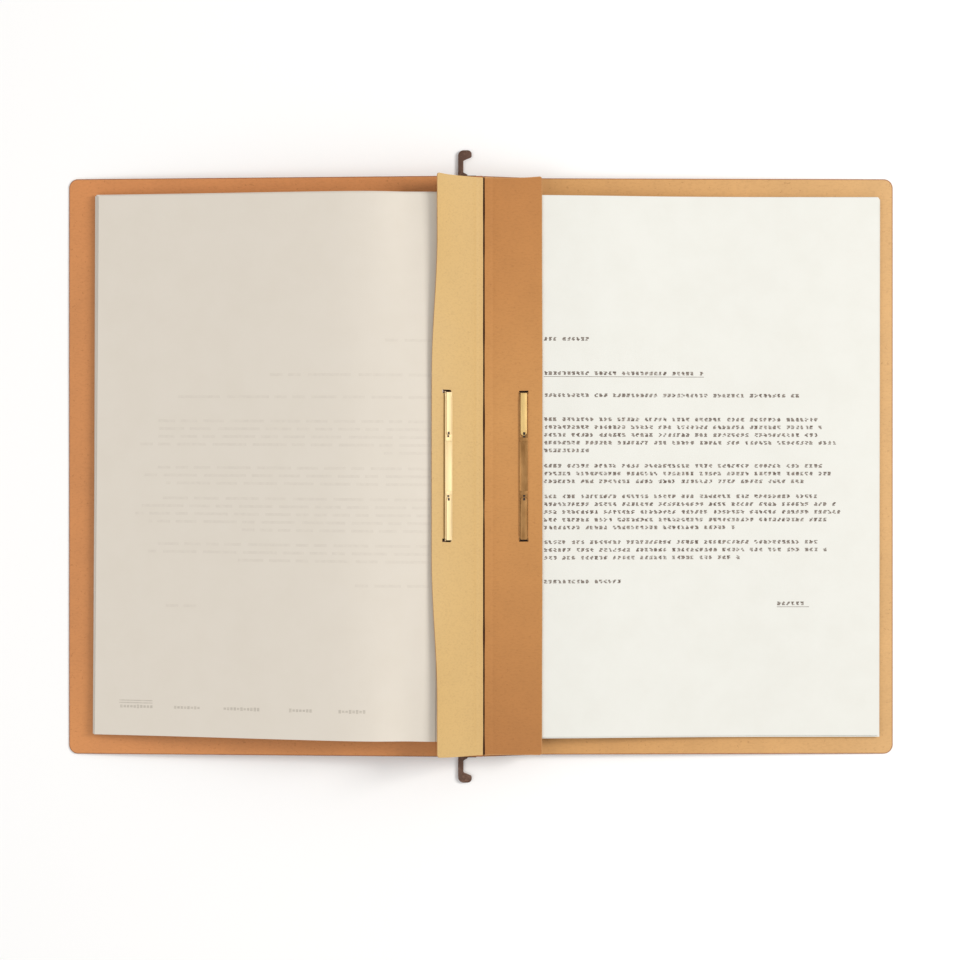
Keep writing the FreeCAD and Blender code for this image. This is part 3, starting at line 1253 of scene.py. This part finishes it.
    def bundle(self) -> bpy.types.Object:
        """The sheets under the top one, each a sheet of its own, slightly out of line.

        Returns:
            The piece.
        """
        pieces = []
        for index in range(self.sheets):
            depth = self.first_depth + self.sheet_pitch * index
            profile = self.sheet_line(depth)
            angle = math.radians(self.rng.uniform(-0.14, 0.14))
            if self.side is Side.LEFT:
                angle += math.radians(0.30 if index > 2 else 0.40)
            shift = (self.rng.uniform(-1.2, -0.4) * MM, self.rng.uniform(-0.8, 0.4) * MM)
            stock = FlatStock(f"sheet_{index}", profile, 0.0, self.sheet_width,
                              self.sheet_height / 2, self.sheet, self.paper_grid,
                              slots=self.holes(), warp=self._turned(angle, shift))
            pieces.append(stock.build(*self.paper()))
        piece = join(f"{self.word}_filed_sheets", pieces)
        nodes = [f"{self.word}_sheet_margin", f"{self.word}_sheets"]
        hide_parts(*nodes)
        self._hold_in_leaf(piece)
        return piece

    def _hold_in_leaf(self, piece: bpy.types.Object) -> None:
        """Ties the right side's clamped sheets to the right leaf; the left ones, which bend where
        they leave the wing, are only baked in place and tied to no body.

        Args:
            piece: the sheets, with no parent.
        """
        if self.side is Side.RIGHT:
            report(piece, "right_leaf")
            return
        bend_between(piece, "left_leaf", "left_bundle")

    def page_warp(self) -> Warp:
        """How the top sheet lies: a little out of square on the left, corners lifting."""
        return self._turned(self.shape.page_angle, self.shape.page_shift, self.top_curl)

    def margin(self, short_of_edge: float) -> float:
        """Where the top sheet passes a line just inside the wing's edge."""
        return self.wing_edge - (self.prong - self.hole_to_edge) - short_of_edge

    def top_page(self) -> bpy.types.Object:
        """The free part of the top sheet, from under the wing's edge outwards.

        Returns:
            The piece.
        """
        margin = self.margin(self.free_from_edge)
        stock = FlatStock(f"{self.word}_top_page", self.sheet_line(0.0), margin,
                          self.sheet_width, self.sheet_height / 2, self.top_sheet,
                          self.top_grid, warp=self.page_warp())
        piece = stock.build(*self.paper())
        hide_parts(f"{self.word}_top_sheet")
        self.turn_with_page(piece)
        return piece

    def turn_with_page(self, piece: bpy.types.Object) -> None:
        """Bakes a piece on the top sheet in place; it is tied to no body, so it does not turn up
        with the sheet.

        Args:
            piece: the sheet or its marks, with no parent.
        """
        holder = "left_bundle" if self.side is Side.LEFT else "right_leaf"
        bend_between(piece, holder, f"{self.word}_page")

    def clamped_top(self) -> bpy.types.Object:
        """The top sheet's punched margin, under the wing.

        Returns:
            The piece.
        """
        stock = FlatStock(f"{self.word}_clamped_margin", self.sheet_line(0.0), 0.0,
                          self.margin(self.clamped_to_edge), self.sheet_height / 2,
                          self.top_sheet, self.top_grid, slots=self.holes(),
                          warp=self.page_warp())
        piece = stock.build(*self.paper())
        self._hold_in_leaf(piece)
        return piece

    def build(self) -> None:
        """Builds the wing and its sheets."""
        self.wing()
        self.bundle()
        self.clamped_top()
        self.top_page()


def join(name: str, pieces: list[bpy.types.Object]) -> bpy.types.Object:
    """Joins loose pieces that share their finishes into one.

    Args:
        name: the joined piece's name.
        pieces: the objects; all but the joined one are removed.

    Returns:
        The joined piece.
    """
    bm = bmesh.new()
    for piece in pieces:
        bm.from_mesh(piece.data)
    materials = list(pieces[0].data.materials)
    for piece in pieces:
        mesh = piece.data
        bpy.data.objects.remove(piece)
        bpy.data.meshes.remove(mesh)
    return finish_mesh(name, bm, materials)


# ------------------------------------------------------------------ typed lines

@dataclass(frozen=True)
class TypedLine:
    """One line of plain specks in the rhythm of typed words, with no letters."""

    from_top: float
    length: float
    indent: float = 0.0
    underlined: bool = False


def letter_lines(row: float = 4.27) -> list[TypedLine]:
    """The letter's layout: greeting, heading, four paragraphs, closing and a note.

    Args:
        row: millimetres from one line of a paragraph to the next.

    Returns:
        The lines from the top down, with lengths and places in metres.
    """
    made = [TypedLine(78.6 * MM, 26 * MM), TypedLine(97.4 * MM, 88 * MM, underlined=True),
            TypedLine(109.5 * MM, 142 * MM)]
    blocks = ((122.7, (152, 155, 152, 163, 26)), (148.2, (155, 160, 147)),
              (165.0, (152, 163, 166, 157, 107)), (190.1, (152, 157, 109)))
    for top, lengths in blocks:
        for index, length in enumerate(lengths):
            made.append(TypedLine((top + index * row) * MM, length * MM))
    made.append(TypedLine(211.7 * MM, 42 * MM))
    made.append(TypedLine(224.1 * MM, 18 * MM, 129.5 * MM, True))
    return made


@dataclass
class MarkedPage:
    """Thin marks on a top sheet: specks for type, or pale bars where it shows through."""

    leaf: Leaf
    left_margin: float = 24.0 * MM
    pitch: float = 2.54 * MM
    film: float = 0.02 * MM
    film_gap: float = 0.012 * MM
    cell: float = 2.2 * MM
    tall: float = 1.5 * MM
    rows: int = 4
    underline_drop: float = 1.9 * MM
    underline: float = 0.26 * MM
    bar_drop: float = 1.2 * MM
    bar_height: float = 1.5 * MM
    bar_part: float = 1.3 * MM
    foot_y: float = -132.6 * MM
    foot_pitch: float = 1.9
    foot_bars: tuple[Point, ...] = ((57.0, 16.0), (86.5, 15.0), (116.0, 22.5), (150.0, 15.5),
                                    (177.0, 19.0))
    foot_rules: tuple[float, ...] = (2.0, 3.3)
    foot_rule: float = 0.5 * MM
    bm: bmesh.types.BMesh = field(default_factory=bmesh.new)

    def __post_init__(self) -> None:
        """Finds the sheet's line."""
        self.profile = self.leaf.sheet_line(0.0)
        self.turn = self.leaf.page_warp()

    def words(self, line: TypedLine) -> list[tuple[float, int]]:
        """Splits a line into words.

        Args:
            line: the line.

        Returns:
            Where each word starts along the line, and its number of characters.
        """
        found: list[tuple[float, int]] = []
        spot, left = line.indent, round(line.length / self.pitch)
        while left > 0:
            count = min(self.leaf.rng.choice((3, 3, 4, 5, 5, 6, 7, 8, 10)), left)
            found.append((spot, count))
            spot += (count + 1) * self.pitch
            left -= count + 1
        return found

    def mark(self, along: float, across: float, width: float, height: float) -> None:
        """Lays one thin mark on the sheet.

        Args:
            along: the mark's start, from the sheet's inner edge.
            across: the mark's middle, along Y.
            width: its width.
            height: its height.
        """
        made = bmesh.ops.create_cube(self.bm, size=1.0)
        surface = self.leaf.top_sheet / 2 + self.film_gap
        for vert in made["verts"]:
            flat = along + (vert.co.x + 0.5) * width
            turned, aside, lift = self.turn(flat, across + vert.co.y * height)
            lift += surface + (vert.co.z + 0.5) * self.film
            vert.co = self.profile.point(turned, aside, lift)

    def typed(self) -> bpy.types.Object:
        """Sets the letter's characters as specks, and its underlines.

        Returns:
            The piece.
        """
        rng = self.leaf.rng
        for line in letter_lines():
            y = self.leaf.sheet_height / 2 - line.from_top
            for start, count in self.words(line):
                for index in range(count):
                    left = self.left_margin + start + index * self.pitch
                    for row in range(self.rows):
                        width = rng.uniform(0.8, 1.9) * MM
                        aside = rng.uniform(0, self.cell - width)
                        up = (row / (self.rows - 1) - 0.5) * self.tall
                        self.mark(left + aside, y + up, width, rng.uniform(0.34, 0.54) * MM)
            if line.underlined:
                for index in range(round(line.length / self.pitch)):
                    left = self.left_margin + line.indent + index * self.pitch
                    self.mark(left, y - self.underline_drop, self.pitch * 0.99,
                              self.underline)
        return self._finish("typed_specks", "ink")

    def show_through(self) -> bpy.types.Object:
        """Lays a pale bar for each word that shows through from the sheet's other side.

        Each bar is a row of short parts, so that it follows the sheet where the sheet bends.

        Returns:
            The piece.
        """
        for line in letter_lines():
            y = self.leaf.sheet_height / 2 - line.from_top - self.bar_drop
            for start, count in self.words(line):
                width = count * self.pitch * 0.94
                parts = math.ceil(width / self.bar_part)
                for index in range(parts):
                    left = self.left_margin - 1.0 * MM + start + width * index / parts
                    self.mark(left, y, width / parts, self.bar_height)
        return self._finish("show_through_bars", "ghost")

    def footer(self) -> bpy.types.Object:
        """Lays the row of plain bars at the foot, one of them under two rules.

        Returns:
            The piece.
        """
        for start, width in self.foot_bars:
            for index in range(int(width / self.foot_pitch)):
                self.mark((start + index * self.foot_pitch) * MM, self.foot_y, 1.35 * MM,
                          self.leaf.rng.uniform(1.1, 2.1) * MM)
        start, width = self.foot_bars[-1]
        for up in self.foot_rules:
            self.mark(start * MM, self.foot_y + up * MM, width * MM, self.foot_rule)
        return self._finish("footer_bars", "stamp")

    def _finish(self, name: str, finish: str) -> bpy.types.Object:
        """Makes the marks laid so far one piece, baked in place on the page; it is tied to no
        body.

        Args:
            name: the piece's name.
            finish: its finish among the papers' ones.

        Returns:
            The piece.
        """
        piece = finish_mesh(name, self.bm, [self.leaf.finishes.paper[finish]])
        self.bm = bmesh.new()
        self.leaf.turn_with_page(piece)
        return piece


# ------------------------------------------------------------------ metal

@dataclass
class Metalwork:
    """The brass fasteners and the rail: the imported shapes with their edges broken."""

    finishes: Finishes
    edge: float = 0.07 * MM
    segments: int = 2
    merge: float = 1e-6
    flat_angle: float = math.radians(1.0)
    sharp_angle: float = math.radians(50)
    recess_width: float = 1.3 * MM
    recess_depth: float = 0.03 * MM
    recess_round: float = 0.35 * MM
    recess_aside: float = 0.3 * MM

    def finish_of(self, name: str) -> bpy.types.Material:
        """The finish of one metal node.

        Args:
            name: the node's name.

        Returns:
            Its material.
        """
        metal = self.finishes.metal
        if name in STEEL_NODES or "base" in name:
            return metal["rail"]
        # The right bar and lower tongue take the brass with painted shade; the left fastener
        # takes the paler brass with a painted reflection.
        if name in ("right_fastener_bar", "right_lower_tongue"):
            return metal["aged_brass"]
        return metal["warm_brass"] if name.startswith("right") else metal["brass"]

    def soften(self, name: str, node: bpy.types.Object) -> bpy.types.Object:
        """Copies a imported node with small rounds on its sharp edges.

        Args:
            name: the node's name.
            node: its object.

        Returns:
            The piece.
        """
        bm = bmesh.new()
        bm.from_mesh(node.data)
        bm.transform(node.matrix_world)
        bmesh.ops.remove_doubles(bm, verts=bm.verts[:], dist=self.merge)
        bmesh.ops.dissolve_limit(bm, angle_limit=self.flat_angle, verts=bm.verts[:],
                                 edges=bm.edges[:], delimit=set())
        sharp = [edge for edge in bm.edges
                 if edge.is_manifold and edge.calc_face_angle() > self.sharp_angle]
        bmesh.ops.bevel(bm, geom=sharp, offset=self.edge, offset_type="OFFSET",
                        segments=self.segments, profile=0.5, affect="EDGES",
                        clamp_overlap=True, material=-1)
        for face in bm.faces:
            face.material_index = 0
        piece = finish_mesh(f"{name}_metal", bm, [self.finish_of(name)])
        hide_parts(name)
        return report(piece, body_of(node))

    def recess(self, leaf: Leaf, end: int, on_tongue: bool) -> bpy.types.Object:
        """The dark mark of one recess, a thin near-black plate of painted shadow: at a tongue's
        tip, or on the bar beyond it.

        Args:
            leaf: the leaf whose fastener it is on.
            end: +1 for the upper one, -1 for the lower one.
            on_tongue: whether it is the one in the tongue.

        Returns:
            The piece.
        """
        bm = bmesh.new()
        bmesh.ops.create_cube(bm, size=1.0)
        length, above, along = (1.6, 1.115, 17.9) if on_tongue else (1.0, 0.67, 16.2)
        bmesh.ops.scale(bm, verts=bm.verts[:],
                        vec=(self.recess_width, length * MM, self.recess_depth))
        tall = [edge for edge in bm.edges
                if abs(edge.verts[0].co.z - edge.verts[1].co.z) > self.recess_depth / 2]
        bmesh.ops.bevel(bm, geom=tall, offset=self.recess_round, offset_type="OFFSET",
                        segments=4, profile=0.5, affect="EDGES", clamp_overlap=True,
                        material=-1)
        x, z = leaf.place(leaf.prong + self.recess_aside, above * MM)
        turn = Matrix.Rotation(-leaf.side.value * leaf.tilt, 4, "Y")
        bm.transform(Matrix.Translation((x, end * along * MM, z)) @ turn)
        level = "upper" if end > 0 else "lower"
        place = "tongue" if on_tongue else "bar"
        piece = finish_mesh(f"{leaf.word}_{level}_{place}_recess", bm,
                            [self.finishes.metal["recess"]])
        return report(piece, f"{leaf.word}_{level}_prong" if on_tongue else f"{leaf.word}_leaf")

    def build(self, leaves: list[Leaf]) -> None:
        """Builds every metal piece.

        Args:
            leaves: the two leaves that carry the fasteners.
        """
        for name, node in sorted(frame["nodes"].items()):
            if any(word in name for word in ("fastener", "tongue", "rail", "hook")):
                self.soften(name, node)
        for leaf in leaves:
            for end in (1, -1):
                for on_tongue in (True, False):
                    self.recess(leaf, end, on_tongue)


def body_of(node: bpy.types.Object) -> str:
    """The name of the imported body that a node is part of."""
    return next(name for name, body in frame["bodies"].items() if node.parent == body)


# ------------------------------------------------------------------ studio

@dataclass
class Studio:
    """The pale floor, the soft lights and the camera above the open file."""

    floor_half: float = 4.0
    camera_height: float = 1.385
    camera_place: Point = (-0.5 * MM, -7.5 * MM)
    lens: float = 93.75
    sensor: float = 36.0
    near: float = 0.05
    floor_drop: float = 0.05 * MM
    floor_grey: float = 0.93
    key_power: float = 26.0
    fill_power: float = 9.0
    sky_power: float = 0.62

    def floor(self) -> None:
        """A large plain sheet that the file lies on."""
        bm = bmesh.new()
        bmesh.ops.create_grid(bm, x_segments=2, y_segments=2, size=self.floor_half)
        bmesh.ops.translate(bm, verts=bm.verts[:], vec=(0, 0, -self.floor_drop))
        material, _, shader = new_material("pale_floor")
        shader.inputs["Base Color"].default_value = (*[self.floor_grey] * 3, 1)
        shader.inputs["Roughness"].default_value = 0.9
        finish_mesh("studio_floor", bm, [material])

    def light(self, name: str, place: Vector, size: float, power: float,
              colour: Colour) -> None:
        """One soft square light aimed at the file's middle.

        Args:
            name: the light's name.
            place: where it stands.
            size: its side.
            power: watts.
            colour: its colour.
        """
        data = bpy.data.lights.new(name, "AREA")
        data.shape = "SQUARE"
        data.size = size
        data.energy = power
        data.color = colour
        lamp = bpy.data.objects.new(name, data)
        lamp.location = place
        lamp.rotation_euler = (-place).to_track_quat("-Z", "Y").to_euler()
        bpy.context.scene.collection.objects.link(lamp)

    def camera(self) -> None:
        """The camera straight above the file."""
        data = bpy.data.cameras.new("overhead_camera")
        data.lens = self.lens
        data.sensor_width = self.sensor
        data.clip_start = self.near
        camera = bpy.data.objects.new("overhead_camera", data)
        camera.location = (*self.camera_place, self.camera_height)
        bpy.context.scene.collection.objects.link(camera)
        bpy.context.scene.camera = camera

    def sky(self) -> None:
        """The even white light from all round."""
        world = bpy.data.worlds.new("studio_world")
        world.use_nodes = True
        back = world.node_tree.nodes["Background"]
        back.inputs["Color"].default_value = (1.0, 1.0, 1.0, 1)
        back.inputs["Strength"].default_value = self.sky_power
        bpy.context.scene.world = world

    def build(self) -> None:
        """Builds the whole studio."""
        self.floor()
        self.camera()
        self.light("key_light", Vector((1.5, 0.35, 1.25)), 0.7, self.key_power,
                   (1.0, 0.97, 0.93))
        self.light("fill_light", Vector((-1.3, -0.5, 1.7)), 1.4, self.fill_power,
                   (1.0, 0.98, 0.96))
        self.sky()
        bpy.context.scene.view_settings.view_transform = "Standard"


def main() -> None:
    """Builds the studio and every sub-assembly, and reports the pieces."""
    logging.basicConfig(level=logging.INFO, format="%(name)s: %(message)s")
    Studio().build()
    finishes = Finishes()
    CoverSet(finishes).build()
    leaves = [Leaf(side, finishes) for side in Side]
    for leaf in leaves:
        leaf.build()
        page = MarkedPage(leaf)
        if leaf.side is Side.RIGHT:
            page.typed()
        else:
            page.show_through()
            page.footer()
    Metalwork(finishes).build(leaves)


if __name__ == "__main__":
    main()
